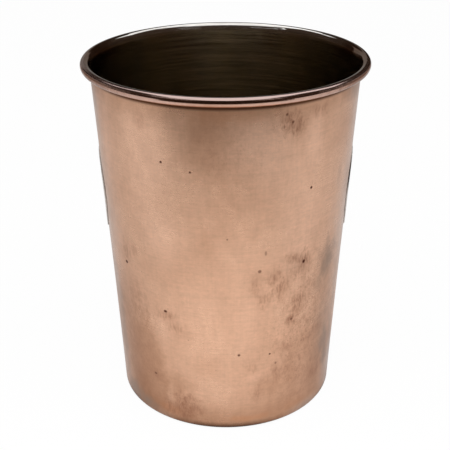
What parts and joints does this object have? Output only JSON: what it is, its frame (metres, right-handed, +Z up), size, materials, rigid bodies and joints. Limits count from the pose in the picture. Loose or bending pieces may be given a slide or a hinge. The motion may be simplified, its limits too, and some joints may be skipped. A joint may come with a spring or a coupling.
{
  "type": "copper cup",
  "caption": "Tapered copper drinking cup with a rolled rim, a grey metal lining, a slightly dished base and a plain oval badge on each side.",
  "frame": {"origin": "on the table, under the middle of the base", "axes": "+Z up along the cup's axis; +X out through the middle of one badge and -X through the other"},
  "size_m": [0.0888, 0.0888, 0.114],
  "materials": {
    "copper": "bare copper, brushed round the cup, handled, with a few stains and pits",
    "lining": "dull grey plating, brushed round the cup",
    "badge": "bare copper, darkened round its edge"
  },
  "bodies": {
    "root": {"copper_shell": "copper", "inner_lining": "lining", "right_badge": "badge", "left_badge": "badge"}
  },
  "joints": []
}
